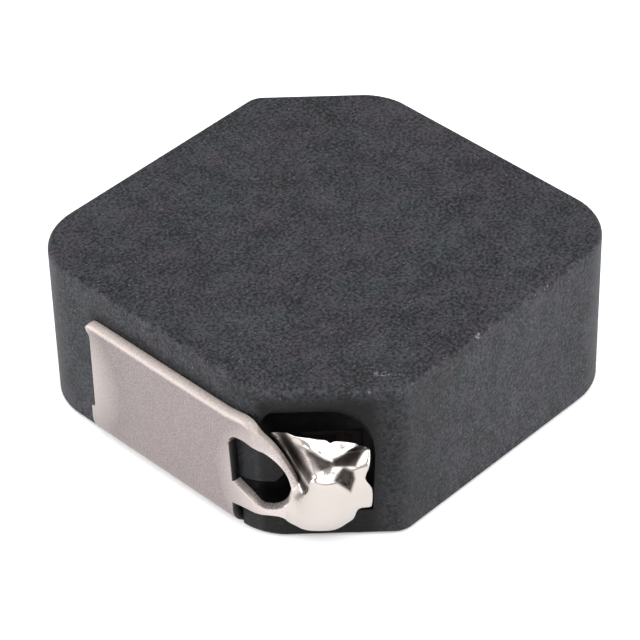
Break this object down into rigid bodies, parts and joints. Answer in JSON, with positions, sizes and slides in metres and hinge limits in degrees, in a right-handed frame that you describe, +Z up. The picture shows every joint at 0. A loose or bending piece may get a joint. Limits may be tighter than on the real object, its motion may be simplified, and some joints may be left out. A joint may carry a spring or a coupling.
{
  "type": "shielded smd inductor",
  "caption": "Low square inductor in a closed ferrite shield with chamfered corners, folded tinned side terminals and soldered corner lugs.",
  "frame": {"origin": "centre of the footprint on the seating plane, which is the underside of the feet", "axes": "+Z up through the closed top; +X across the terminals, towards the rear one; +Y along the terminal plates; the chamfered corners are at (-X, -Y) and (+X, +Y)"},
  "size_m": [0.0132, 0.0126, 0.0055],
  "materials": {
    "ferrite": "matt, fine sintered grain",
    "enamelled_copper": "clear enamel over copper",
    "resin": "cured resin",
    "tinned_sheet": "matt tin plating",
    "solder": "bright solder"
  },
  "bodies": {
    "root": {"shield_core": "ferrite", "drum_core": "ferrite", "winding": "enamelled_copper", "gap_resin": "resin", "terminal_front": "tinned_sheet", "terminal_rear": "tinned_sheet", "solder_joint_front": "solder", "solder_joint_rear": "solder"}
  },
  "joints": []
}
